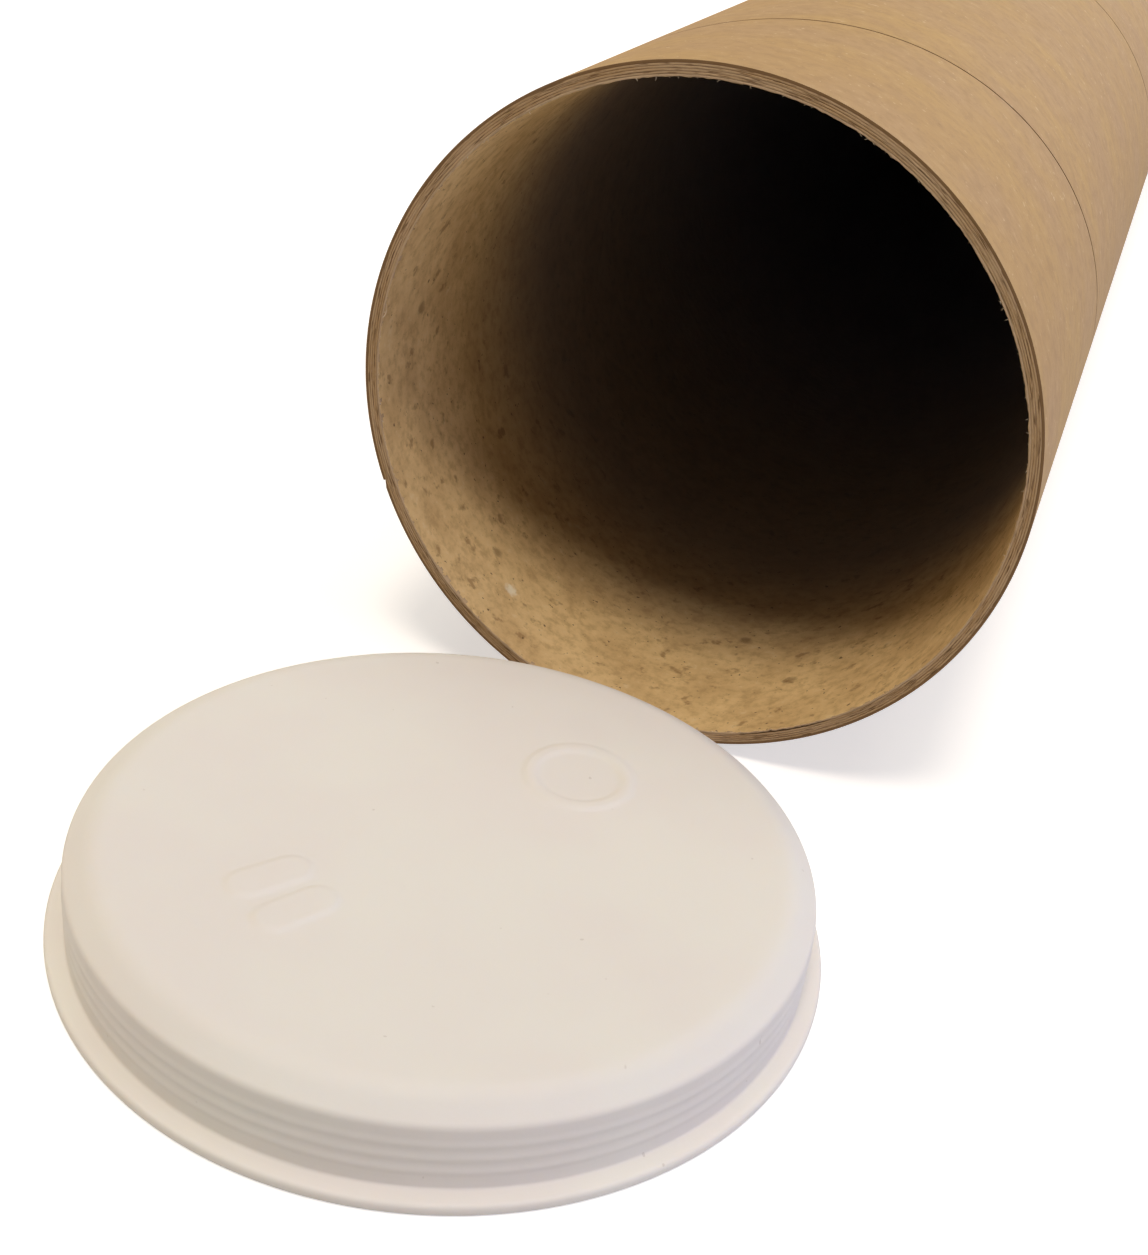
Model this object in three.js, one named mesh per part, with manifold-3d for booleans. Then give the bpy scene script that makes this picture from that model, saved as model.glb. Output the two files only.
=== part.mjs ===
// Round mailing tube: a spiral-wound board tube lying on its side, with a push-in cap in its
// far end and the near end's cap taken off, lying flange down beside the mouth.
// Millimetres, +Z up. +Y runs along the tube, away from its open mouth.

import * as THREE from 'three';
import { mergeVertices } from 'three/addons/utils/BufferGeometryUtils.js';
import Module from 'manifold-3d';

const wasm = await Module();
wasm.setup();

// Driving dimensions of the tube
const boreDiameter = 80;
const boardWall = 1.75;
const tubeLength = 450;
const rimBreak = 0.1;
const wrapThickness = 0.3;
const linerThickness = 0.3;
const plyLineDepth = 0.2;
const plyLineHalfWidth = 0.06;

// The butt joint of the outer wrap: it climbs one pitch along the tube in each turn, clockwise
// as seen from the mouth, and crosses the top of the tube a set way in from the mouth
const seamPitch = 120;
const seamInset = 38;
const seamRadius = 0.2;

// Driving dimensions of the caps
const plugClearance = 0.25;
const ribRise = 0.2;
const ribHalfHeight = 0.35;
const ribCount = 3;
const firstRibHeight = 3.6;
const ribPitch = 1.65;
const flangeInset = 0.1;
const flangeThickness = 1.4;
const flangeRootFillet = 0.3;
const shoulderHeight = 9.1;
const shoulderRound = 0.4;
const faceHeight = 11;
const faceInset = 2.9;
const faceRound = 1.2;
const mouldWall = 1.1;
const recessCorner = 1.5;
const capSeatGap = 0.3;

// Where the loose cap lies: its flange's edge ahead of the mouth, and its centre to the left
const looseCapGap = 4.1;
const looseCapAside = 6.3;

const roundSegments = 60;
const roundCornerSteps = 3;
const seamSides = 6;

// Sizes that follow
const boreRadius = boreDiameter / 2;
const tubeRadius = boreRadius + boardWall;
const ribRadius = boreRadius - plugClearance;
const plugRadius = ribRadius - ribRise;
const flangeRadius = tubeRadius - flangeInset;
const recessRadius = plugRadius - mouldWall;
const faceRadius = plugRadius - faceInset;

// A point between two others, by a length measured from the first
function pointTowards(from, to, length) {
  return from.clone().add(to.clone().sub(from).setLength(length));
}

// Adds a corner to a profile, rounded by a curve that starts and ends a set length from it
function addRoundCorner(path, before, corner, after, reach) {
  const start = pointTowards(corner, before, reach);
  const end = pointTowards(corner, after, reach);
  path.lineTo(start.x, start.y);
  path.quadraticCurveTo(corner.x, corner.y, end.x, end.y);
}

// The points of a path, without the repeats where a line meets a curve
function profilePoints(path) {
  const points = path.getPoints(roundCornerSteps);
  return points.filter((point, i) => i === 0 || point.distanceTo(points[i - 1]) > 1e-4);
}

// A closed geometry as a solid that can be cut
function toSolid(geometry) {
  const bare = geometry.clone();
  bare.deleteAttribute('normal');
  bare.deleteAttribute('uv');
  const merged = mergeVertices(bare, 1e-5);
  const vertProperties = new Float32Array(merged.attributes.position.array);
  const triVerts = new Uint32Array(merged.index.array);
  return new wasm.Manifold(new wasm.Mesh({ numProp: 3, vertProperties, triVerts }));
}

// A cut solid as a geometry again
function toGeometry(solid) {
  const mesh = solid.getMesh();
  const geometry = new THREE.BufferGeometry();
  geometry.setAttribute('position', new THREE.BufferAttribute(mesh.vertProperties, 3));
  geometry.setIndex(new THREE.BufferAttribute(mesh.triVerts, 1));
  geometry.computeVertexNormals();
  return geometry;
}

// One cut end of the board, from the bore out to the tube's outside: its two corners are
// lightly broken, and a fine line shows where the liner and the wrap meet the core
function cutEndPoints(end, inwards) {
  const at = (radius, depth) => new THREE.Vector2(radius, end + inwards * depth);
  const points = [at(boreRadius, rimBreak), at(boreRadius + rimBreak, 0)];
  for (const radius of [boreRadius + linerThickness, tubeRadius - wrapThickness]) {
    points.push(at(radius - plyLineHalfWidth, 0));
    points.push(at(radius, plyLineDepth));
    points.push(at(radius + plyLineHalfWidth, 0));
  }
  points.push(at(tubeRadius - rimBreak, 0), at(tubeRadius, rimBreak));
  return points;
}

// The line that the outer wrap's joint follows, on the tube's outside, over a length that runs
// out past both cut ends
class SeamCurve extends THREE.Curve {
  constructor(turns, startTurn) {
    super();
    this.turns = turns;
    this.startTurn = startTurn;
  }

  getPoint(t, target = new THREE.Vector3()) {
    const turn = this.startTurn + t * this.turns;
    const angle = turn * Math.PI * 2;
    const along = seamInset + turn * seamPitch;
    return target.set(Math.sin(angle) * tubeRadius, along, Math.cos(angle) * tubeRadius);
  }
}

// The groove left along the joint, as a solid to cut out. Its bends fall on the tube's own
// edges, so it is equally deep all the way.
function makeSeamCutter() {
  const stepsPerTurn = roundSegments;
  const firstStep = Math.floor((-seamInset / seamPitch) * stepsPerTurn) - 1;
  const lastStep = Math.ceil(((tubeLength - seamInset) / seamPitch) * stepsPerTurn) + 1;
  const steps = lastStep - firstStep;
  const curve = new SeamCurve(steps / stepsPerTurn, firstStep / stepsPerTurn);
  const section = new THREE.Shape();
  section.absarc(0, 0, seamRadius, 0, Math.PI * 2);
  const curveSegments = seamSides / 2;
  return new THREE.ExtrudeGeometry(section, { steps, curveSegments, extrudePath: curve });
}

// The wound board, on the Y axis from y = 0
function makeTube() {
  const nearEnd = cutEndPoints(0, 1);
  const farEnd = cutEndPoints(tubeLength, -1).reverse();
  const profile = [...nearEnd, ...farEnd, nearEnd[0].clone()];
  const pipe = toSolid(new THREE.LatheGeometry(profile, roundSegments));
  return toGeometry(pipe.subtract(toSolid(makeSeamCutter())));
}

// One cap, moulded as a shallow cup: the flange's outer face is at y = 0 and the plug points to
// +Y, where it is closed. Its recess opens at the flange.
function makeCap() {
  const flangeEdge = new THREE.Vector2(flangeRadius, 0);
  const flangeTop = new THREE.Vector2(flangeRadius, flangeThickness);
  const flangeRoot = new THREE.Vector2(plugRadius, flangeThickness);
  const shoulder = new THREE.Vector2(plugRadius, shoulderHeight);
  const faceEdge = new THREE.Vector2(faceRadius, faceHeight);
  const faceMiddle = new THREE.Vector2(0, faceHeight);
  const ceilingHeight = faceHeight - mouldWall;
  const ceiling = new THREE.Vector2(recessRadius, ceilingHeight);
  const ceilingMiddle = new THREE.Vector2(0, ceilingHeight);
  const recessRim = new THREE.Vector2(recessRadius, 0);

  const path = new THREE.Path();
  path.moveTo(ceilingMiddle.x, ceilingMiddle.y);
  addRoundCorner(path, ceilingMiddle, ceiling, recessRim, recessCorner);
  path.lineTo(recessRim.x, recessRim.y);
  addRoundCorner(path, recessRim, flangeEdge, flangeTop, flangeThickness / 2);
  addRoundCorner(path, flangeEdge, flangeTop, flangeRoot, flangeThickness / 2);
  addRoundCorner(path, flangeTop, flangeRoot, shoulder, flangeRootFillet);
  for (let rib = 0; rib < ribCount; rib += 1) {
    const ribHeight = firstRibHeight + rib * ribPitch;
    path.lineTo(plugRadius, ribHeight - ribHalfHeight);
    path.lineTo(ribRadius, ribHeight);
    path.lineTo(plugRadius, ribHeight + ribHalfHeight);
  }
  addRoundCorner(path, flangeRoot, shoulder, faceEdge, shoulderRound);
  addRoundCorner(path, shoulder, faceEdge, faceMiddle, faceRound);
  path.lineTo(faceMiddle.x, faceMiddle.y);
  return new THREE.LatheGeometry(profilePoints(path), roundSegments);
}

// A named mesh with its own material
function makePiece(name, geometry, color, roughness) {
  const material = new THREE.MeshStandardMaterial({ color, roughness, metalness: 0 });
  const mesh = new THREE.Mesh(geometry, material);
  mesh.name = name;
  return mesh;
}

const boardBrown = 0xb99a6b;
const capWhite = 0xe9e4dd;

// The board tube lies along +Y, with its mouth at y = 0 of the layout
const tube = makePiece('tube', makeTube(), boardBrown, 0.85);
tube.position.set(0, 0, tubeRadius);

// The far cap's plug points back into the bore, and its flange covers the cut end
const rearCap = makePiece('rear_cap', makeCap(), capWhite, 0.5);
const rearCapEnd = tubeLength + capSeatGap + flangeThickness;
rearCap.rotation.z = Math.PI;
rearCap.position.set(0, rearCapEnd, tubeRadius);

// The near cap lies on its flange ahead of the mouth, with its closed face up
const frontCap = makePiece('front_cap', makeCap(), capWhite, 0.5);
const frontCapAhead = flangeRadius + looseCapGap;
frontCap.rotation.x = Math.PI / 2;
frontCap.position.set(-looseCapAside, -frontCapAhead, 0);

// The layout is shifted so that the origin is under the middle of everything, on the floor
const leftEdge = Math.min(-tubeRadius, -looseCapAside - flangeRadius);
const rightEdge = Math.max(tubeRadius, -looseCapAside + flangeRadius);
const nearEdge = -frontCapAhead - flangeRadius;
const layout = new THREE.Group();
layout.add(tube, rearCap, frontCap);
layout.position.set(-(leftEdge + rightEdge) / 2, -(nearEdge + rearCapEnd) / 2, 0);

const mailingTube = new THREE.Group();
mailingTube.add(layout);

export default mailingTube;
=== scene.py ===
# %% [markdown]
# A round mailing tube is a pipe of wound board with a plastic plug cap for each end. Here it
# lies on its side with the near cap taken off. The construction model gives every size and
# place, so this lesson only dresses it: finer shapes for the same pieces, and their finishes.
# The model is loaded first, and its box is kept so that the dressed object can be compared.

# %% Load the construction model
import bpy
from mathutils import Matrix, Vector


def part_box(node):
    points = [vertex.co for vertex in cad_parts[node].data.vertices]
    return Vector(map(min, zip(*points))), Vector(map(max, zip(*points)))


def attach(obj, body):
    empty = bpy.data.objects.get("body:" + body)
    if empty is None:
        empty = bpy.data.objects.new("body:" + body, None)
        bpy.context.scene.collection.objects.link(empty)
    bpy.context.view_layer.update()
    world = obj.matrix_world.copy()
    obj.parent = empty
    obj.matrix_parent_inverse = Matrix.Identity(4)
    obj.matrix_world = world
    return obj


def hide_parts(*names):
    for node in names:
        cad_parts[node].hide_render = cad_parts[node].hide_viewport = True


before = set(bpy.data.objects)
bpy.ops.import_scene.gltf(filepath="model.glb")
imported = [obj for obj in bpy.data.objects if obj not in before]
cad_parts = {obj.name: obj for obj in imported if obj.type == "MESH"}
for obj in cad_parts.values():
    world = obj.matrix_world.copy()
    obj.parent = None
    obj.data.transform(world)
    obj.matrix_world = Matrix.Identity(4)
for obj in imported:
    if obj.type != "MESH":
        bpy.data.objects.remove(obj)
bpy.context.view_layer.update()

# %% [markdown]
# All sizes below are in metres. The main ones are read from the loaded pieces, so the dressed
# pieces land on them. The fine ones, such as the height of a rib, get a name in the cell that
# first needs them.

# %% Sizes of the tube and the caps
import math
import random

import bpy
from mathutils import Matrix, Vector, noise

MM = 0.001
tube_low, tube_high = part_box("tube")
cap_low, cap_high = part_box("front_cap")
far_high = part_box("rear_cap")[1]

tube_radius = (tube_high.z - tube_low.z) / 2
tube_length = tube_high.y - tube_low.y
mouth_centre = Vector(((tube_low.x + tube_high.x) / 2, tube_low.y, tube_low.z + tube_radius))
far_end = tube_high.y
bore_radius = 40 * MM
wrap_thickness = 0.3 * MM
core_radius = tube_radius - wrap_thickness
print("tube radius and length", round(tube_radius, 5), round(tube_length, 4))

cap_height = cap_high.z - cap_low.z
flange_radius = (cap_high.x - cap_low.x) / 2
near_cap_base = Vector(((cap_low.x + cap_high.x) / 2, (cap_low.y + cap_high.y) / 2, cap_low.z))
far_cap_base = Vector((mouth_centre.x, far_high.y, mouth_centre.z))
print("cap height and flange radius", round(cap_height, 4), round(flange_radius, 5))

# %% [markdown]
# The camera stands some 17 cm in front of the mouth, a little to its right, and looks down to
# the left across the loose cap into the bore, rolled a little. Its place was worked out from the
# round edges of the mouth and the cap, whose true circles are known, so it is given from the
# mouth. Its three angles are in radians. A long-side sensor of 36 mm makes the lens 46 mm.

# %% Camera
camera_from_mouth = Vector((43.2 * MM, -173.6 * MM, 0))
camera_height = 116.2 * MM
turn_left = 0.2419
tilt_down = 0.5722
roll = 0.1665
focal_pixels = 1610
picture_width, picture_height = 1148, 1255
axis_pixel = (638.8, 722.7)

camera_place = Vector((mouth_centre.x, mouth_centre.y, 0)) + camera_from_mouth
camera_place.z = camera_height
turned = (
    Matrix.Rotation(turn_left, 4, "Z")
    @ Matrix.Rotation(math.pi / 2 - tilt_down, 4, "X")
    @ Matrix.Rotation(roll, 4, "Z")
)
bpy.ops.object.camera_add(location=camera_place, rotation=turned.to_euler())
camera = bpy.context.object
camera.data.sensor_width = 36
camera.data.lens = focal_pixels / picture_height * camera.data.sensor_width
camera.data.shift_x = (picture_width / 2 - axis_pixel[0]) / picture_height
camera.data.shift_y = (axis_pixel[1] - picture_height / 2) / picture_height
camera.data.clip_start = 0.01
bpy.context.scene.camera = camera
print("lens", round(camera.data.lens, 2), "mm")

# %% [markdown]
# The light is a plain soft studio: a faint pale sky all round, a lamp high up in front of the
# mouth that reaches a few centimetres into the bore, a broad ceiling lamp straight above, a cool
# window on the right and a warm bounce on the left. A weak low window behind lights the far
# end, which the others leave in shade. The first lamp is a sun with a wide angle, so its shadow
# edge is soft. The camera sees the sky and the pale floor as white, and so would a mirror or a
# glass, but the object is lit no more for it.

# %% World and lamps
bpy.context.scene.view_settings.view_transform = "Standard"
world = bpy.data.worlds.new("pale_sky")
bpy.context.scene.world = world
world.use_nodes = True
sky = world.node_tree
sky_light = sky.nodes["Background"]
sky_light.inputs["Color"].default_value = (0.95, 0.97, 1.0, 1)
sky_light.inputs["Strength"].default_value = 0.1
sky_seen = sky.nodes.new("ShaderNodeBackground")
sky_seen.inputs["Color"].default_value = (1, 1, 1, 1)
sky_path = sky.nodes.new("ShaderNodeLightPath")
sky_mix = sky.nodes.new("ShaderNodeMixShader")
share_seen = sky_path.outputs["Is Camera Ray"]
for ray_kind in ("Is Glossy Ray", "Is Transmission Ray"):
    either = sky.nodes.new("ShaderNodeMath")
    either.operation = "MAXIMUM"
    sky.links.new(share_seen, either.inputs[0])
    sky.links.new(sky_path.outputs[ray_kind], either.inputs[1])
    share_seen = either.outputs[0]
sky.links.new(share_seen, sky_mix.inputs["Fac"])
sky.links.new(sky_light.outputs["Background"], sky_mix.inputs[1])
sky.links.new(sky_seen.outputs["Background"], sky_mix.inputs[2])
sky.links.new(sky_mix.outputs["Shader"], sky.nodes["World Output"].inputs["Surface"])


def aim(lamp, target):
    """Turns a lamp so that it shines at a point."""
    direction = Vector(target) - lamp.location
    lamp.rotation_euler = direction.to_track_quat("-Z", "Y").to_euler()


def add_window(name, place, target, size, power, colour):
    """A square soft lamp."""
    bpy.ops.object.light_add(type="AREA", location=place)
    lamp = bpy.context.object
    lamp.name = name
    lamp.data.size = size
    lamp.data.energy = power
    lamp.data.color = colour
    aim(lamp, target)


bpy.ops.object.light_add(type="SUN", location=(0, -0.5, 1))
overhead = bpy.context.object
overhead.name = "overhead_lamp"
overhead.data.angle = math.radians(15)
overhead.data.energy = 1.3
overhead.data.color = (1.0, 0.89, 0.78)
overhead_travel = Vector((-0.02, 0.34, -1))
overhead.rotation_euler = overhead_travel.to_track_quat("-Z", "Y").to_euler()
lit_spot = (mouth_centre.x, mouth_centre.y, 0.03)
far_spot = (mouth_centre.x, far_end, 0.04)
# Each window has a name, a place, a target, a size in metres, a power in watts and a colour
windows = [
    ("cool_window", (0.9, -0.2, 0.35), lit_spot, 0.6, 3.2, (0.68, 0.68, 1.0)),
    ("warm_bounce", (-0.8, -0.3, 0.3), lit_spot, 0.6, 1.1, (1.0, 0.6, 0.2)),
    ("pale_ceiling", (0.0, -0.16, 1.2), lit_spot, 1.1, 6.4, (1.0, 0.98, 0.86)),
    ("back_window", (0.15, 0.9, 0.25), far_spot, 0.4, 1.1, (1.0, 0.98, 0.95)),
]
for window in windows:
    add_window(*window)
print("lamps at the mouth and behind the far end")

# %% [markdown]
# Every finish below is a small tree of nodes. A few helpers keep the cells short: they add a
# node, start a material, reckon with patterns, lay one tint over another and set the surface.

# %% Helpers for the finishes


def add_node(tree, kind, values=None, **options):
    """Adds a node; each value is a plain value, or the socket of another node to link from."""
    node = tree.nodes.new(kind)
    for option, setting in options.items():
        setattr(node, option, setting)
    for socket, value in (values or {}).items():
        if isinstance(value, bpy.types.NodeSocket):
            tree.links.new(value, node.inputs[socket])
        else:
            node.inputs[socket].default_value = value
    return node


def start_finish(name):
    """A new material, with its tree and its main shader."""
    finish = bpy.data.materials.new(name)
    finish.use_nodes = True
    return finish, finish.node_tree, finish.node_tree.nodes["Principled BSDF"]


def calculate(tree, operation, first, second=0.0, third=0.0):
    """One step of arithmetic on sockets or numbers."""
    values = {0: first, 1: second, 2: third}
    return add_node(tree, "ShaderNodeMath", values, operation=operation).outputs[0]


def mix_colour(tree, share, first, second):
    """Mixes two colours by a share from 0 to 1."""
    values = {"Factor": share, 6: first, 7: second}
    return add_node(tree, "ShaderNodeMix", values, data_type="RGBA").outputs[2]


def step_between(tree, value, low, high, to_low=0.0, to_high=1.0):
    """A soft step: the value's way from low to high, as a number from to_low to to_high."""
    values = {"Value": value, "From Min": low, "From Max": high, "To Min": to_low}
    values["To Max"] = to_high
    ranger = add_node(tree, "ShaderNodeMapRange", values, interpolation_type="SMOOTHSTEP")
    return ranger.outputs["Result"]


def noise_at(tree, coordinates, scale, detail, roughness):
    """The grey value of a cloudy noise."""
    values = {"Vector": coordinates, "Scale": scale, "Detail": detail, "Roughness": roughness}
    return add_node(tree, "ShaderNodeTexNoise", values).outputs["Fac"]


def tinted(tree, colour, pattern, low, high, share, tint):
    """Lays a tint over a colour, by up to a share, as a pattern goes from low to high."""
    return mix_colour(tree, step_between(tree, pattern, low, high, 0.0, share), colour, tint)


def set_surface(tree, shader, colour, roughness, specular):
    """Gives a main shader its colour, its roughness and the strength of its gloss."""
    tree.links.new(colour, shader.inputs["Base Color"])
    shader.inputs["Roughness"].default_value = roughness
    shader.inputs["Specular IOR Level"].default_value = specular


def add_bump(tree, shader, height, strength, distance):
    """Raises the surface by a pattern, over a distance in metres."""
    values = {"Height": height, "Strength": strength, "Distance": distance}
    bump = add_node(tree, "ShaderNodeBump", values)
    tree.links.new(bump.outputs[0], shader.inputs["Normal"])


print("helpers for the finishes ready")

# %% [markdown]
# The floor is a large pale sheet. It takes the shadow as any floor does. For the camera alone,
# and for mirrors and glass, a little white is added. That lifts the lit floor to white, with no
# more light on the object, and leaves the shadow to be seen.

# %% Floor
floor_reach = 8
floor_glow_strength = 0.55
bpy.ops.mesh.primitive_plane_add(size=floor_reach, location=(0, 0, 0))
floor = bpy.context.object
floor.name = "floor"
floor_finish, tree, shader = start_finish("pale_floor")
shader.inputs["Base Color"].default_value = (0.72, 0.715, 0.7, 1)
shader.inputs["Roughness"].default_value = 0.9
shader.inputs["Specular IOR Level"].default_value = 0.1
path = add_node(tree, "ShaderNodeLightPath")
seen = calculate(tree, "MAXIMUM", path.outputs["Is Camera Ray"], path.outputs["Is Glossy Ray"])
seen = calculate(tree, "MAXIMUM", seen, path.outputs["Is Transmission Ray"])
glow_strength = calculate(tree, "MULTIPLY", seen, floor_glow_strength)
glow = add_node(tree, "ShaderNodeEmission", {"Strength": glow_strength})
both = add_node(tree, "ShaderNodeAddShader", {0: shader.outputs[0], 1: glow.outputs[0]})
tree.links.new(both.outputs[0], tree.nodes["Material Output"].inputs["Surface"])
floor.data.materials.append(floor_finish)
print("floor", floor_reach, "m across")

# %% [markdown]
# Paper has a direction. The plies were wound on at a slant, one turn in 120 mm, and the broad
# cloudy bands of the paper follow that slant. So their coordinates are wound as well: space is
# turned about the tube's axis, more and more with the way along it. In the turned space a line
# of the winding runs straight along Y, and a noise that is stretched along Y follows it, with
# no joint anywhere round the tube. The fine flecks are as long as wide, so they need no winding.
# A last helper makes a single soft spot at a chosen place on the bore wall.

# %% Wound coordinates
seam_pitch = 120 * MM
seam_inset = 38 * MM


def centred_coordinates(tree):
    """Object coordinates, counted from the middle of the mouth."""
    place = add_node(tree, "ShaderNodeTexCoord").outputs["Object"]
    values = {"Vector": place, "Location": -mouth_centre}
    return add_node(tree, "ShaderNodeMapping", values).outputs[0]


def unwound_coordinates(tree, centred):
    """Centred coordinates, turned back about the axis by the winding's slant."""
    along = add_node(tree, "ShaderNodeSeparateXYZ", {"Vector": centred}).outputs["Y"]
    turn = calculate(tree, "MULTIPLY", along, -2 * math.pi / seam_pitch)
    unwound = add_node(
        tree,
        "ShaderNodeVectorRotate",
        {"Vector": centred, "Angle": turn},
        rotation_type="Y_AXIS",
    )
    return unwound.outputs[0]


winding_slant = math.atan2(seam_pitch, 2 * math.pi * tube_radius)
along_gain = math.sin(winding_slant)
across_gain = math.sin(winding_slant) + math.cos(winding_slant) ** 2 / math.sin(winding_slant)


def stretched(tree, coordinates, across, along):
    """Unwound coordinates, scaled so that a noise of scale 1 has the given sizes, in metres.

    Along the winding, Y grows slower than the way; across it, the unwound place moves faster.
    """
    sideways = 1 / (across * across_gain)
    scale = (sideways, 1 / (along * along_gain), sideways)
    values = {"Vector": coordinates, "Scale": scale}
    return add_node(tree, "ShaderNodeMapping", values).outputs[0]


def spot_at(tree, centred, depth, degrees, reach, ragged):
    """A soft spot on the bore wall, ragged at its edge; 1 in its middle and 0 outside it."""
    angle = math.radians(degrees)
    place = (math.sin(angle) * bore_radius, depth, math.cos(angle) * bore_radius)
    way = add_node(
        tree, "ShaderNodeVectorMath", {0: centred, 1: place}, operation="DISTANCE"
    ).outputs["Value"]
    edge = calculate(tree, "MULTIPLY_ADD", ragged, reach, way)
    return step_between(tree, edge, 1.5 * reach, 0.8 * reach)


print("winding slant", round(math.degrees(winding_slant), 1), "degrees")

# %% [markdown]
# The outer wrap is plain brown kraft paper: smooth, a little cloudy from light to dark, with
# short darker and paler fibres. Three sizes of noise make it: bands along the winding, clouds of
# a centimetre and a half, and a fine mottle. A fourth makes pale fibres, and flecks are the
# peaks of two more. The same mottle and fibres raise the surface by hundredths of a millimetre.

# %% Kraft paper finish
kraft_brown = (0.465, 0.3, 0.138, 1)
kraft_yellow = (0.5, 0.325, 0.138, 1)
kraft_cloud = (0.455, 0.3, 0.165, 1)
kraft_dark = (0.37, 0.235, 0.115, 1)
kraft_pale = (0.6, 0.43, 0.26, 1)
dark_fleck = (0.33, 0.19, 0.09, 1)
pale_fleck = (0.72, 0.56, 0.38, 1)

kraft_finish, tree, shader = start_finish("kraft_wrap")
centred = centred_coordinates(tree)
unwound = unwound_coordinates(tree, centred)
bands = noise_at(tree, stretched(tree, unwound, 14 * MM, 45 * MM), 1, 2, 0.5)
clouds = noise_at(tree, centred, 1 / (15 * MM), 3, 0.55)
mottle = noise_at(tree, centred, 1 / (2.0 * MM), 4, 0.65)
fibres = noise_at(tree, stretched(tree, unwound, 1.1 * MM, 1.0 * MM), 1, 3, 0.55)
flecks = noise_at(tree, centred, 1 / (0.75 * MM), 2, 0.5)
pale = noise_at(tree, centred, 1 / (0.9 * MM), 2, 0.5)
colour = mix_colour(tree, step_between(tree, bands, 0.3, 0.7), kraft_brown, kraft_yellow)
colour = tinted(tree, colour, clouds, 0.36, 0.64, 0.6, kraft_cloud)
colour = tinted(tree, colour, mottle, 0.42, 0.7, 0.5, kraft_dark)
colour = tinted(tree, colour, mottle, 0.42, 0.25, 0.35, kraft_pale)
colour = tinted(tree, colour, fibres, 0.6, 0.75, 0.2, kraft_pale)
colour = tinted(tree, colour, flecks, 0.66, 0.76, 0.45, dark_fleck)
colour = tinted(tree, colour, pale, 0.67, 0.76, 0.5, pale_fleck)
set_surface(tree, shader, colour, 0.7, 0.12)
add_bump(tree, shader, calculate(tree, "ADD", mottle, fibres), 0.7, 0.07 * MM)
print("kraft paper finish with", len(tree.nodes), "nodes")

# %% [markdown]
# A cut edge of wound board shows the plies end on: thin rings of grey-brown recycled paper with
# dark glue lines between them, frayed and streaky where the knife dragged. The colour follows
# the way from the axis, and a noise that is long round the ring and fine across it breaks it up.
# The wrap's edge and the glue below it are darkest, partly their own dark and partly painted shade
# of the narrow gap between wrap and core; the same painted shade darkens the open joint.

# %% Cut board finish
ply_count = 5
ply_thickness = (core_radius - bore_radius) / ply_count
board_brown = (0.45, 0.29, 0.145, 1)
board_pale = (0.52, 0.36, 0.21, 1)
board_grain = (0.58, 0.43, 0.29, 1)
board_streak = (0.13, 0.07, 0.03, 1)
glue_line = (0.15, 0.08, 0.035, 1)
liner_edge = (0.56, 0.42, 0.28, 1)
# The wrap's dark edge, partly painted shade of the gap under it and of the joint
edge_dark_and_gap_shade = (0.21, 0.12, 0.055, 1)

cut_finish, tree, shader = start_finish("cut_board")
centred = centred_coordinates(tree)
flat = add_node(
    tree, "ShaderNodeVectorMath", {0: centred, 1: (1, 0, 1)}, operation="MULTIPLY"
).outputs[0]
radius = add_node(
    tree, "ShaderNodeVectorMath", {0: flat}, operation="LENGTH"
).outputs["Value"]
round_way = add_node(
    tree, "ShaderNodeVectorMath", {0: flat}, operation="NORMALIZE"
).outputs[0]


def ring_streaks(tree, round_way, radius, long_size, fine_size, seed):
    """A noise that is long round the tube and fine across the cut."""
    long_way = add_node(
        tree,
        "ShaderNodeVectorMath",
        {0: round_way, 3: bore_radius / long_size},
        operation="SCALE",
    ).outputs[0]
    across = calculate(tree, "MULTIPLY_ADD", radius, 1 / fine_size, seed)
    lift = add_node(tree, "ShaderNodeCombineXYZ", {"Y": across}).outputs[0]
    place = add_node(tree, "ShaderNodeVectorMath", {0: long_way, 1: lift}, operation="ADD")
    return noise_at(tree, place.outputs[0], 1, 2, 0.5)


streaks = ring_streaks(tree, round_way, radius, 2.2 * MM, 0.16 * MM, 3.0)
grain = ring_streaks(tree, round_way, radius, 0.35 * MM, 0.12 * MM, 9.0)
shades = ring_streaks(tree, round_way, radius, 9 * MM, 0.9 * MM, 21.0)
broken = ring_streaks(tree, round_way, radius, 5 * MM, 0.7 * MM, 33.0)
colour = mix_colour(tree, step_between(tree, shades, 0.3, 0.7), board_brown, board_pale)
colour = tinted(tree, colour, grain, 0.45, 0.75, 0.4, board_grain)
colour = tinted(tree, colour, streaks, 0.54, 0.68, 0.8, board_streak)
from_bore = calculate(tree, "SUBTRACT", radius, bore_radius)
plies_out = calculate(tree, "DIVIDE", from_bore, ply_thickness)
from_line = calculate(tree, "PINGPONG", plies_out, 0.5)
on_line = step_between(tree, from_line, 0.16, 0.05)
unbroken = step_between(tree, broken, 0.35, 0.6, 0.15, 0.8)
colour = mix_colour(tree, calculate(tree, "MULTIPLY", on_line, unbroken), colour, glue_line)
liner_out, liner_in = bore_radius + 0.4 * MM, bore_radius + 0.15 * MM
colour = tinted(tree, colour, radius, liner_out, liner_in, 0.55, liner_edge)
# Painted shade on the wrap's own dark edge: from the core's outer radius out, the wrap's cut ends
# and the floor and walls of its open joint are darkened
gap_shade_start, gap_shade_full = core_radius - 0.06 * MM, core_radius - 0.01 * MM
colour = tinted(tree, colour, radius, gap_shade_start, gap_shade_full, 0.9, edge_dark_and_gap_shade)
set_surface(tree, shader, colour, 0.9, 0.05)
add_bump(tree, shader, calculate(tree, "MULTIPLY_ADD", streaks, -1.0, grain), 0.8, 0.08 * MM)
print("ply thickness", round(ply_thickness / MM, 2), "mm")
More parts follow.
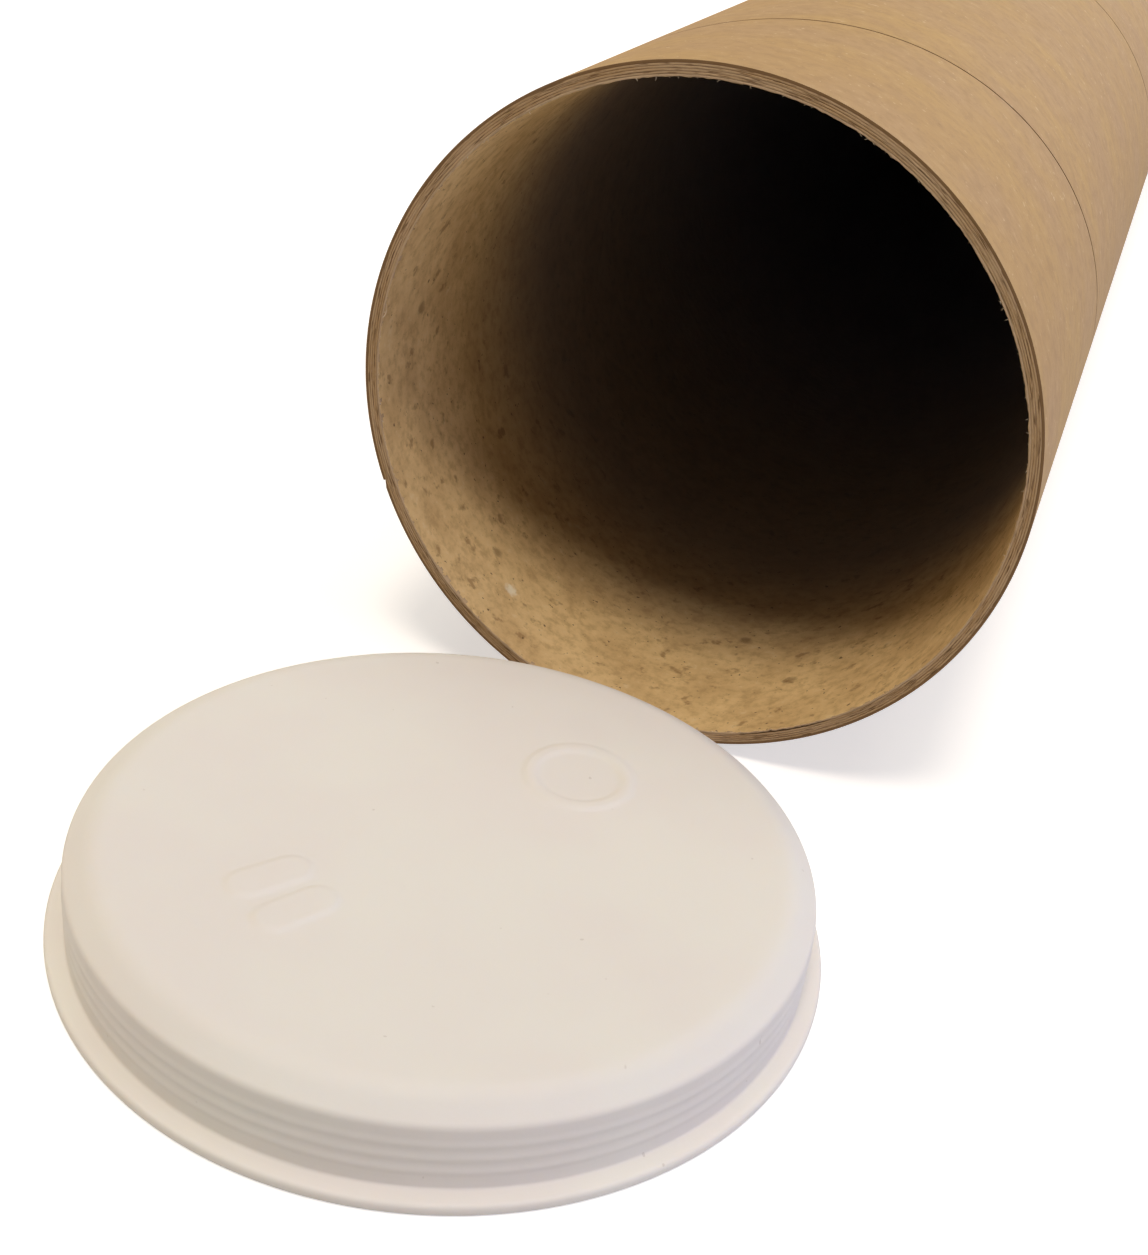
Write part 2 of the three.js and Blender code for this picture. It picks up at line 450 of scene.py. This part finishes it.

# %% [markdown]
# The liner inside is a softer, yellower recycled paper. It is cloudy, with many small dark
# specks of bark and ink, and a few stains. The specks are the peaks of two noises: one for the
# fine ones, one for the rarer dark ones. Four smudges and one pale rubbed spot have places of
# their own. The paper keeps its own colour in the mouth's first centimetres. Further in, painted
# shade darkens it, and deep down painted light turns it a pale grey that lifts the dark of the
# bore and keeps it from turning brown.

# %% Liner paper finish
liner_brown = (0.64, 0.445, 0.215, 1)
liner_yellow = (0.77, 0.56, 0.28, 1)
liner_dark = (0.43, 0.275, 0.125, 1)
liner_pale = (0.78, 0.62, 0.36, 1)
stain = (0.27, 0.155, 0.065, 1)
fine_speck = (0.25, 0.15, 0.07, 1)
speck = (0.12, 0.07, 0.035, 1)
smudge = (0.2, 0.12, 0.05, 1)
rubbed = (0.9, 0.84, 0.66, 1)
# The next two tints are painted by depth: shade further into the bore, and light deep down in it
painted_bore_shade = (0.14, 0.12, 0.125, 1)
painted_deep_light = (0.36, 0.34, 0.38, 1)

liner_finish, tree, shader = start_finish("liner_paper")
centred = centred_coordinates(tree)
clouds = noise_at(tree, centred, 1 / (8 * MM), 3, 0.55)
mottle = noise_at(tree, centred, 1 / (1.7 * MM), 4, 0.65)
stains = noise_at(tree, centred, 1 / (2.6 * MM), 3, 0.6)
specks = noise_at(tree, centred, 1 / (0.8 * MM), 2, 0.5)
fine_specks = noise_at(tree, centred, 1 / (0.42 * MM), 1, 0.5)
ragged = noise_at(tree, centred, 1 / (0.6 * MM), 3, 0.6)
colour = mix_colour(tree, step_between(tree, clouds, 0.3, 0.7), liner_brown, liner_yellow)
colour = tinted(tree, colour, mottle, 0.42, 0.72, 0.6, liner_dark)
colour = tinted(tree, colour, mottle, 0.42, 0.27, 0.5, liner_pale)
colour = tinted(tree, colour, stains, 0.6, 0.72, 0.65, stain)
colour = tinted(tree, colour, fine_specks, 0.73, 0.79, 0.6, fine_speck)
colour = tinted(tree, colour, specks, 0.7, 0.75, 0.85, speck)
# Each spot has a depth in mm, an angle clockwise from the top, a reach in mm, a share and a tint
spots = [
    (13.6, -137.6, 1.1, 0.6, smudge),
    (14.4, 155.3, 1.4, 0.6, smudge),
    (11.5, -86, 1.3, 0.6, smudge),
    (26.7, 169.4, 1.2, 0.6, smudge),
    (10.1, -144.8, 1.3, 0.75, rubbed),
]
for spot_depth, spot_angle, spot_reach, spot_share, spot_tint in spots:
    spot = spot_at(tree, centred, spot_depth * MM, spot_angle, spot_reach * MM, ragged)
    colour = mix_colour(tree, calculate(tree, "MULTIPLY", spot, spot_share), colour, spot_tint)
depth = add_node(tree, "ShaderNodeSeparateXYZ", {"Vector": centred}).outputs["Y"]
# Painted shade: from 14 to 60 mm into the bore the paper is darkened, where shade falls
colour = tinted(tree, colour, depth, 14 * MM, 60 * MM, 0.8, painted_bore_shade)
# Painted light: from 70 to 170 mm deep a pale grey lifts the bore's dark and keeps it from turning
# brown
colour = tinted(tree, colour, depth, 70 * MM, 170 * MM, 0.85, painted_deep_light)
set_surface(tree, shader, colour, 0.85, 0.08)
add_bump(tree, shader, calculate(tree, "MULTIPLY_ADD", stains, 0.5, mottle), 0.7, 0.12 * MM)
print("liner finish with", len(tree.nodes), "nodes")

# %% [markdown]
# Turned shapes are drawn as a profile and wound round an axis. The profile starts as one vertex,
# which is a plane merged to its middle, and is extruded from point to point. Each point is a
# radius and a height along the axis. A Screw modifier takes the line once round. The spin tool
# makes the same shape, but it is slow with a thousand steps, and the modifier also closes the
# seam and the poles by itself. The faces are then turned outwards.

# %% Helpers for turned shapes
AXIS_Y = Vector((0, 1, 0))
AXIS_Z = Vector((0, 0, 1))
SIDEWAYS = Vector((1, 0, 0))


def draw_profile(name, points, axis):
    """Draws a line through (radius, height) points by extruding a vertex along them."""
    places = [SIDEWAYS * radius + axis * height for radius, height in points]
    bpy.ops.object.select_all(action="DESELECT")
    bpy.ops.mesh.primitive_plane_add(size=MM, location=(0, 0, 0))
    piece = bpy.context.object
    piece.name = name
    bpy.ops.object.mode_set(mode="EDIT")
    bpy.ops.mesh.select_all(action="SELECT")
    bpy.ops.mesh.merge(type="CENTER")
    bpy.ops.transform.translate(value=places[0])
    for before, after in zip(places, places[1:]):
        bpy.ops.mesh.extrude_vertices_move(TRANSFORM_OT_translate={"value": after - before})
    bpy.ops.object.mode_set(mode="OBJECT")
    return piece


def wind_profile(piece, axis_name, steps, base, pitch=0.0, turns=1):
    """Turns a drawn line round an axis, closes it, and puts it at its place."""
    winding = piece.modifiers.new("winding", "SCREW")
    winding.axis = axis_name
    winding.screw_offset = pitch
    winding.iterations = turns
    winding.steps = steps
    winding.render_steps = steps
    winding.use_merge_vertices = pitch == 0
    winding.merge_threshold = 0.002 * MM
    bpy.ops.object.modifier_apply(modifier="winding")
    bpy.ops.object.mode_set(mode="EDIT")
    bpy.ops.mesh.select_all(action="SELECT")
    bpy.ops.mesh.normals_make_consistent(inside=False)
    bpy.ops.transform.translate(value=base)
    bpy.ops.object.mode_set(mode="OBJECT")


def smooth_shading(piece, angle):
    """Shades a piece smooth, apart from edges sharper than an angle in degrees."""
    bpy.ops.object.select_all(action="DESELECT")
    piece.select_set(True)
    bpy.context.view_layer.objects.active = piece
    bpy.ops.object.shade_smooth_by_angle(angle=math.radians(angle))


def count_triangles(piece):
    """How many triangles a piece has."""
    return sum(len(face.vertices) - 2 for face in piece.data.polygons)


print("helpers for turned shapes ready")

# %% [markdown]
# The board itself is a pipe of plies. Its profile goes round the wall: out across the near cut,
# along the outside, in across the far cut, and back up the bore. Each ply gets four points,
# so that its edge can bulge a little between two glue lines. It is wound in 1000 steps, because
# the frayed edge needs points closer than 0.3 mm.

# %% Board core
board_steps = 1000
glue_line_depth = 0.05 * MM
ply_bulge = 0.025 * MM
edge_break = 0.12 * MM
bore_rings = [0.35 * MM, 0.7 * MM, 1.2 * MM, 2 * MM, 3.5 * MM, 30 * MM, 120 * MM]


def cut_end_profile():
    """(radius, depth) points down the bore's last stretch and out across the cut."""
    points = [(bore_radius, depth) for depth in reversed(bore_rings)]
    points.append((bore_radius, edge_break))
    points.append((bore_radius + 0.3 * edge_break, 0.3 * edge_break))
    for ply in range(ply_count):
        start = bore_radius + ply * ply_thickness
        first = edge_break if ply == 0 else 0.2 * ply_thickness
        points.append((start + first, 0.0))
        points.append((start + 0.5 * ply_thickness, -ply_bulge))
        points.append((start + 0.8 * ply_thickness, 0.0))
        points.append((start + ply_thickness, glue_line_depth))
    return points


near_cut = cut_end_profile()
far_cut = [(radius, tube_length - depth) for radius, depth in reversed(cut_end_profile())]
board_profile = near_cut + far_cut + near_cut[:1]
board = draw_profile("board_core", board_profile, AXIS_Y)
wind_profile(board, "Y", board_steps, mouth_centre)
print("board core", count_triangles(board), "triangles")

# %% [markdown]
# A knife leaves no clean ring. Each ply tears off a little higher or lower, in streaks that run
# round the cut, and the liner's edge is notched. The points near both cuts are moved by small
# noises that are looked up by angle and radius. At the bottom the liner has come unglued over
# about ten millimetres: there the first glue line opens into a crack.

# %% Frayed cut edges
crack_angle = math.radians(151)
crack_half_angle = math.radians(9)
crack_depth = 0.9 * MM
crack_lift = 0.22 * MM
fray_reach = 3.5 * MM


def around_axis(point):
    """A point's way from the tube's axis, and its angle clockwise from the top."""
    right, up = point.x - mouth_centre.x, point.z - mouth_centre.z
    return math.hypot(right, up), math.atan2(right, up)


def way_out(point):
    """The direction from the tube's axis straight out to a point."""
    return Vector((point.x - mouth_centre.x, 0, point.z - mouth_centre.z)).normalized()


def ring_noise(angle, radius, long_size, fine_size, seed):
    """A smooth noise from -1 to 1, long round the tube and fine across the wall."""
    reach = bore_radius / long_size
    place = (math.sin(angle) * reach, math.cos(angle) * reach, radius / fine_size + seed)
    return noise.noise(Vector(place))


def fray(piece):
    """Moves the points near both cut ends, as a knife and handling leave them."""
    for vertex in piece.data.vertices:
        from_near = vertex.co.y - mouth_centre.y
        from_far = far_end - vertex.co.y
        depth = min(from_near, from_far)
        if depth > fray_reach:
            continue
        inward = 1 if from_near < from_far else -1
        seed = 0 if inward > 0 else 50
        radius, angle = around_axis(vertex.co)
        fade = max(0.0, 1 - depth / fray_reach)
        streak = ring_noise(angle, radius, 2.5 * MM, 0.3 * MM, seed)
        crumb = ring_noise(angle, radius, 0.45 * MM, 0.2 * MM, seed + 7)
        if depth < 0.2 * MM:
            vertex.co.y += inward * (0.05 * streak + 0.035 * crumb) * MM
        at_bore = max(0.0, 1 - (radius - bore_radius) / (0.3 * MM))
        notch = ring_noise(angle, 0, 1.1 * MM, MM, seed + 13)
        bite = ring_noise(angle, 0, 0.35 * MM, MM, seed + 19)
        shift = at_bore * fade ** 6 * (0.12 * notch + 0.07 * bite) * MM
        vertex.co += way_out(vertex.co) * shift


def open_crack(piece):
    """Opens the first glue line at the bottom of the near cut."""
    for vertex in piece.data.vertices:
        depth = vertex.co.y - mouth_centre.y
        radius, angle = around_axis(vertex.co)
        way = abs(angle - crack_angle) / crack_half_angle
        if depth > fray_reach or way > 1 or radius > bore_radius + 1.1 * ply_thickness:
            continue
        ragged = 0.75 + 0.5 * noise.noise(Vector((angle * 90, 0, 4)))
        open_share = (1 - way ** 2) * ragged
        line = bore_radius + ply_thickness
        if abs(radius - line) < 0.1 * ply_thickness and depth < 0.3 * MM:
            vertex.co.y += crack_depth * open_share
            continue
        fade = max(0.0, 1 - depth / (2 * MM))
        vertex.co -= way_out(vertex.co) * crack_lift * open_share * fade


open_crack(board)
fray(board)
print("cut edges frayed over", round(fray_reach / MM, 1), "mm")

# %% [markdown]
# The board's two finishes go on by place: liner on the bore wall, and cut board on the two ends
# and the outside, which shows only down in the wrap's joint.

# %% Finishes of the board core
for finish in (liner_finish, cut_finish):
    board.data.materials.append(finish)
for face in board.data.polygons:
    radius = around_axis(face.center)[0]
    in_bore = radius < bore_radius + 0.02 * MM and abs(face.normal.y) < 0.6
    face.material_index = 0 if in_bore else 1
smooth_shading(board, 50)
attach(board, "tube")
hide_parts("tube")
print("board core has", len(board.data.materials), "finishes")

# %% [markdown]
# The outer wrap is a real strip: it winds round the core like a bandage, and its two edges meet
# in a fine open joint. It is made the same way. One straight edge, as wide as the strip, is
# wound by a Screw modifier, one pitch per turn. The joint crosses the top of the tube, but the
# edge is drawn at the right side, a quarter of a turn on, so it starts a quarter pitch further
# along. It also starts two turns early, so that the paper covers the mouth all round.

# %% Outer wrap
joint_gap = 0.5 * MM
wrap_steps_per_turn = 720
turns_before = 2
quarter_turn = seam_pitch / 4
joint_at_side = seam_inset + quarter_turn - turns_before * seam_pitch
strip_start = joint_at_side + joint_gap / 2
strip_width = seam_pitch - joint_gap
strip_turns = math.ceil(tube_length / seam_pitch) + turns_before
strip_edge = [(tube_radius, strip_start), (tube_radius, strip_start + strip_width)]
wrap = draw_profile("kraft_wrap", strip_edge, AXIS_Y)
wind_profile(wrap, "Y", wrap_steps_per_turn, mouth_centre, seam_pitch, strip_turns)
middle = wrap.data.polygons[len(wrap.data.polygons) // 2]
if middle.normal.dot(way_out(middle.center)) < 0:
    wrap.data.flip_normals()
print("wrap strip", round(strip_width / MM, 2), "mm wide,", strip_turns, "turns")

# %% [markdown]
# The strip now gets its thickness, inwards, from a Solidify modifier. It is a hair thinner than
# its room, so that it stays clear of the core. Then it is cut off flush with the board at both
# ends. A bisect with a filled cut keeps it closed.

# %% Cut the wrap to length
clear_of_core = 0.98
thickness = wrap.modifiers.new("thickness", "SOLIDIFY")
thickness.thickness = wrap_thickness * clear_of_core
thickness.offset = -1
thickness.use_even_offset = True
bpy.ops.object.modifier_apply(modifier="thickness")
bpy.ops.object.mode_set(mode="EDIT")
for plane_y, normal in ((mouth_centre.y, -AXIS_Y), (far_end, AXIS_Y)):
    bpy.ops.mesh.select_all(action="SELECT")
    bpy.ops.mesh.bisect(
        plane_co=(0, plane_y, 0),
        plane_no=normal,
        use_fill=True,
        clear_outer=True,
        threshold=0.001 * MM,
    )
bpy.ops.object.mode_set(mode="OBJECT")
print("kraft wrap", count_triangles(wrap), "triangles")

# %% [markdown]
# The wrap is kraft paper on its two broad sides. Its edges, at the cut ends and down in the joint,
# are dark like the glue line below, partly painted shade of the gap under the wrap and of the
# joint. They are the faces that look along the tube.

# %% Finishes of the wrap
for finish in (kraft_finish, cut_finish):
    wrap.data.materials.append(finish)
for face in wrap.data.polygons:
    face.material_index = 1 if abs(face.normal.y) > 0.7 else 0
smooth_shading(wrap, 40)
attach(wrap, "tube")
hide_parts("tube")
print("wrap has", len(wrap.data.materials), "finishes")

# %% [markdown]
# The caps are moulded of a soft white plastic. It is slightly see-through, so light spreads
# below the surface, and its gloss is satin. The mould leaves a fine grain, handling leaves
# faint scuffs, a little dust lies on it, and the colour is not quite even.

# %% Cap plastic finish
plastic_cool = (0.79, 0.755, 0.72, 1)
plastic_warm = (0.8, 0.78, 0.735, 1)
dust_grey = (0.45, 0.4, 0.35, 1)

plastic_finish, tree, shader = start_finish("white_plastic")
place = add_node(tree, "ShaderNodeTexCoord").outputs["Object"]
clouds = noise_at(tree, place, 1 / (22 * MM), 2, 0.5)
mould_grain = noise_at(tree, place, 1 / (0.5 * MM), 3, 0.6)
scuffs = noise_at(tree, place, 1 / (4 * MM), 4, 0.7)
dust = noise_at(tree, place, 1 / (1.1 * MM), 1, 0.4)
colour = mix_colour(tree, step_between(tree, clouds, 0.35, 0.65), plastic_cool, plastic_warm)
colour = tinted(tree, colour, dust, 0.79, 0.83, 0.35, dust_grey)
tree.links.new(colour, shader.inputs["Base Color"])
tree.links.new(step_between(tree, scuffs, 0.3, 0.75, 0.55, 0.7), shader.inputs["Roughness"])
shader.inputs["Specular IOR Level"].default_value = 0.22
shader.inputs["Subsurface Weight"].default_value = 0.25
shader.inputs["Subsurface Radius"].default_value = (1.0, 0.8, 0.6)
shader.inputs["Subsurface Scale"].default_value = 1.2 * MM
add_bump(tree, shader, mould_grain, 0.3, 0.02 * MM)
print("cap plastic with", len(tree.nodes), "nodes")

# %% [markdown]
# A cap is one moulding: a thin flange, a plug wall with three soft ribs that grip the bore, a
# tapered shoulder, and a closed face. It is hollow behind. The profile is drawn from the middle
# of the recess, out round the flange, and up to the middle of the face. The marks lie from 11 to
# 26.5 mm out from that middle, so the face gets its points close together there.

# %% Profile of a cap
plug_radius = 39.55 * MM
face_radius = 36.65 * MM
recess_radius = 38.45 * MM
flange_thickness = 1.4 * MM
shoulder_height = 9.1 * MM
mould_wall = 1.1 * MM
rib_rise = 0.1 * MM
rib_half_height = 0.75 * MM
rib_heights = [3.6 * MM, 5.25 * MM, 6.9 * MM]
face_dish = 0.18 * MM
fine_rings = 42
fine_from = 26.5
fine_span = 15.5


def rounded_corner(before, corner, after, reach, count):
    """Points of a curve that starts and ends a set way from a corner."""
    corner = Vector(corner)
    start = corner + (Vector(before) - corner).normalized() * reach
    end = corner + (Vector(after) - corner).normalized() * reach
    points = []
    for step in range(count + 1):
        t = step / count
        point = start * (1 - t) ** 2 + corner * 2 * t * (1 - t) + end * t ** 2
        points.append((point.x, point.y))
    return points


def wall_with_ribs(from_height, to_height, count):
    """Points up the plug wall; each rib is a soft wave."""
    points = []
    for step in range(count + 1):
        height = from_height + (to_height - from_height) * step / count
        radius = plug_radius
        for rib_height in rib_heights:
            way = abs(height - rib_height) / rib_half_height
            if way < 1:
                radius += rib_rise * (0.5 + 0.5 * math.cos(math.pi * way))
        points.append((radius, height))
    return points


def cap_profile():
    """(radius, height) points from the recess's middle to the face's middle."""
    ceiling = cap_height - mould_wall
    flange_edge, flange_top = (flange_radius, 0.0), (flange_radius, flange_thickness)
    flange_root, shoulder = (plug_radius, flange_thickness), (plug_radius, shoulder_height)
    face_edge, face_middle = (face_radius, cap_height), (0.0, cap_height)
    recess_corner, recess_rim = (recess_radius, ceiling), (recess_radius, 0.0)
    points = [(0.0, ceiling), (18 * MM, ceiling)]
    points += rounded_corner((0.0, ceiling), recess_corner, recess_rim, 1.5 * MM, 6)
    points += [(recess_radius, 0.15 * MM), (recess_radius + 0.15 * MM, 0.0)]
    points += rounded_corner(recess_rim, flange_edge, flange_top, 0.6 * MM, 5)
    points += rounded_corner(flange_edge, flange_top, flange_root, 0.6 * MM, 5)
    points += rounded_corner(flange_top, flange_root, shoulder, 0.3 * MM, 4)
    points += wall_with_ribs(2.4 * MM, 8.0 * MM, 34)
    points += rounded_corner(flange_root, shoulder, face_edge, 0.5 * MM, 5)
    points += rounded_corner(shoulder, face_edge, face_middle, 1.3 * MM, 8)
    for ring in range(fine_rings + 1):
        radius = (fine_from - ring * fine_span / fine_rings) * MM
        points.append((radius, cap_height))
    points.append((5 * MM, cap_height))
    points.append(face_middle)
    dished = []
    for radius, height in points:
        if height > cap_height - 0.05 * MM:
            height -= face_dish * (1 - (radius / face_radius) ** 2)
        dished.append((radius, height))
    return dished


cap_points = cap_profile()
print("cap profile", len(cap_points), "points")

# %% [markdown]
# Both caps come from the same mould, so the shape is made once, for the near cap, and the far
# one is a copy with its own mesh.

# %% Near cap
cap_steps = 480
near_cap = draw_profile("loose_cap", cap_points, AXIS_Z)
wind_profile(near_cap, "Z", cap_steps, near_cap_base)
print("loose cap", count_triangles(near_cap), "triangles")

# %% [markdown]
# The mould also leaves three low marks on the closed face. Here they are plain ones: two
# round-ended pads side by side, and a ring. The points that lie within each mark are
# raised, and the slope beside them follows from how far a point is from the mark's edge.

# %% Mould marks on the face
mark_rise = 0.24 * MM
mark_slope = 0.8 * MM
pad_half_length = 2.4 * MM
pad_half_width = 1.7 * MM
# Each pad has a place to the right of the cap's middle and along the tube, and its turn in degrees
pads = [(-8.5 * MM, -18.6 * MM, 61), (-13.2 * MM, -15.5 * MM, 56)]
ring_mark = (8.0 * MM, 16.7 * MM)
ring_mark_radius = 5.6 * MM
ring_mark_half_width = 0.35 * MM


def way_outside_pad(right, along, pad):
    """How far a place on the face is outside a round-ended pad."""
    pad_right, pad_along, degrees = pad
    direction = Vector((math.cos(math.radians(degrees)), math.sin(math.radians(degrees))))
    offset = Vector((right - pad_right, along - pad_along))
    along_pad = max(-pad_half_length, min(pad_half_length, offset.dot(direction)))
    return (offset - direction * along_pad).length - pad_half_width


def way_outside_ring(right, along):
    """How far a place on the face is from the ring mark's ridge."""
    from_middle = math.hypot(right - ring_mark[0], along - ring_mark[1])
    return abs(from_middle - ring_mark_radius) - ring_mark_half_width


def raise_marks(piece):
    """Lifts the points of the closed face that lie in or beside a mark."""
    for vertex in piece.data.vertices:
        if vertex.co.z < near_cap_base.z + cap_height - 2 * face_dish:
            continue
        right, along = vertex.co.x - near_cap_base.x, vertex.co.y - near_cap_base.y
        outside = min(way_outside_pad(right, along, pad) for pad in pads)
        outside = min(outside, way_outside_ring(right, along))
        share = max(0.0, min(1.0, 1 - outside / mark_slope))
        vertex.co.z += mark_rise * share * share * (3 - 2 * share)


raise_marks(near_cap)
near_cap.data.materials.append(plastic_finish)
smooth_shading(near_cap, 50)
print("marks raised by", mark_rise / MM, "mm")

# %% [markdown]
# The far cap is turned so that its flange faces away from the tube and its plug points into the
# bore. The copy's mesh is turned and moved, not its object, which stays at the origin.

# %% Far cap
far_cap = near_cap.copy()
far_cap.data = near_cap.data.copy()
far_cap.name = "far_cap"
bpy.context.collection.objects.link(far_cap)
stand_up = Matrix.Rotation(math.pi / 2, 4, "X")
far_cap.data.transform(
    Matrix.Translation(far_cap_base) @ stand_up @ Matrix.Translation(-near_cap_base)
)
for cap, body, node_name in ((near_cap, "tube", "front_cap"), (far_cap, "rear_cap", "rear_cap")):
    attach(cap, body)
    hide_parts(node_name)
    low = [round(min(v.co[i] for v in cap.data.vertices), 4) for i in range(3)]
    high = [round(max(v.co[i] for v in cap.data.vertices), 4) for i in range(3)]
    print(cap.name, low, high)

# %% [markdown]
# The knife and the fingers leave loose fibres on the liner's edge. Each one is a thin bent stalk:
# a small disc, extruded a few times and made smaller each time. Its place, length, lean and curl
# are drawn at random from a fixed seed. One is longer, as on the real rim. They are then joined
# to one piece.

# %% Paper fibres on the rim
fibre_draw = random.Random(7)
fibre_count = 110
fibre_sides = 5
fibre_segments = 4


def add_fibre(angle, length, lean, curl, thickness):
    """One fibre on the near rim's inner edge, at an angle clockwise from the top."""
    rim_point = mouth_centre + Vector((math.sin(angle), 0, math.cos(angle))) * bore_radius
    inwards = Vector((-math.sin(angle), 0, -math.cos(angle)))
    sideways = Vector((math.cos(angle), 0, -math.sin(angle)))
    bpy.ops.mesh.primitive_circle_add(
        vertices=fibre_sides, radius=thickness / 2, fill_type="NGON", location=(0, 0, 0)
    )
    fibre = bpy.context.object
    bpy.ops.object.mode_set(mode="EDIT")
    bpy.ops.mesh.select_all(action="SELECT")
    step = length / fibre_segments
    for segment in range(fibre_segments):
        bend = curl * (segment + 1) / fibre_segments
        move = Vector((math.sin(bend) * step, 0, math.cos(bend) * step))
        bpy.ops.mesh.extrude_region_move(TRANSFORM_OT_translate={"value": move})
        bpy.ops.transform.resize(value=(0.8, 0.8, 0.8))
    bpy.ops.object.mode_set(mode="OBJECT")
    stalk = (inwards + sideways * lean - AXIS_Y * abs(lean) * 0.4).normalized()
    side = stalk.cross(AXIS_Y).normalized()
    turn = Matrix((side, stalk.cross(side), stalk)).transposed().to_4x4()
    fibre.data.transform(Matrix.Translation(rim_point) @ turn)
    return fibre


bpy.ops.object.select_all(action="DESELECT")
fibres = []
for _ in range(fibre_count):
    angle = fibre_draw.uniform(0, 2 * math.pi)
    length = fibre_draw.uniform(0.12, 0.4) * MM
    lean = fibre_draw.uniform(-1.6, 1.6)
    curl = fibre_draw.uniform(-1.2, 1.2)
    thickness = fibre_draw.uniform(0.035, 0.075) * MM
    fibres.append(add_fibre(angle, length, lean, curl, thickness))
long_fibre_angle = math.radians(-83)
fibres.append(
    add_fibre(long_fibre_angle, length=2.1 * MM, lean=0.9, curl=1.1, thickness=0.11 * MM)
)
bpy.ops.object.select_all(action="DESELECT")
for fibre in fibres:
    fibre.select_set(True)
bpy.context.view_layer.objects.active = fibres[0]
bpy.ops.object.join()
rim_fibres = bpy.context.object
rim_fibres.name = "rim_fibres"
bpy.ops.object.mode_set(mode="EDIT")
bpy.ops.mesh.select_all(action="SELECT")
bpy.ops.mesh.normals_make_consistent(inside=False)
bpy.ops.object.mode_set(mode="OBJECT")

fibre_finish, tree, shader = start_finish("pale_fibre")
place = add_node(tree, "ShaderNodeTexCoord").outputs["Object"]
shade = noise_at(tree, place, 1 / (1.5 * MM), 1, 0.5)
fibre_brown = (0.5, 0.38, 0.26, 1)
fibre_pale = (0.74, 0.63, 0.48, 1)
colour = mix_colour(tree, step_between(tree, shade, 0.3, 0.7), fibre_brown, fibre_pale)
tree.links.new(colour, shader.inputs["Base Color"])
shader.inputs["Roughness"].default_value = 0.9
rim_fibres.data.materials.append(fibre_finish)
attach(rim_fibres, "tube")
print("rim fibres", count_triangles(rim_fibres), "triangles")
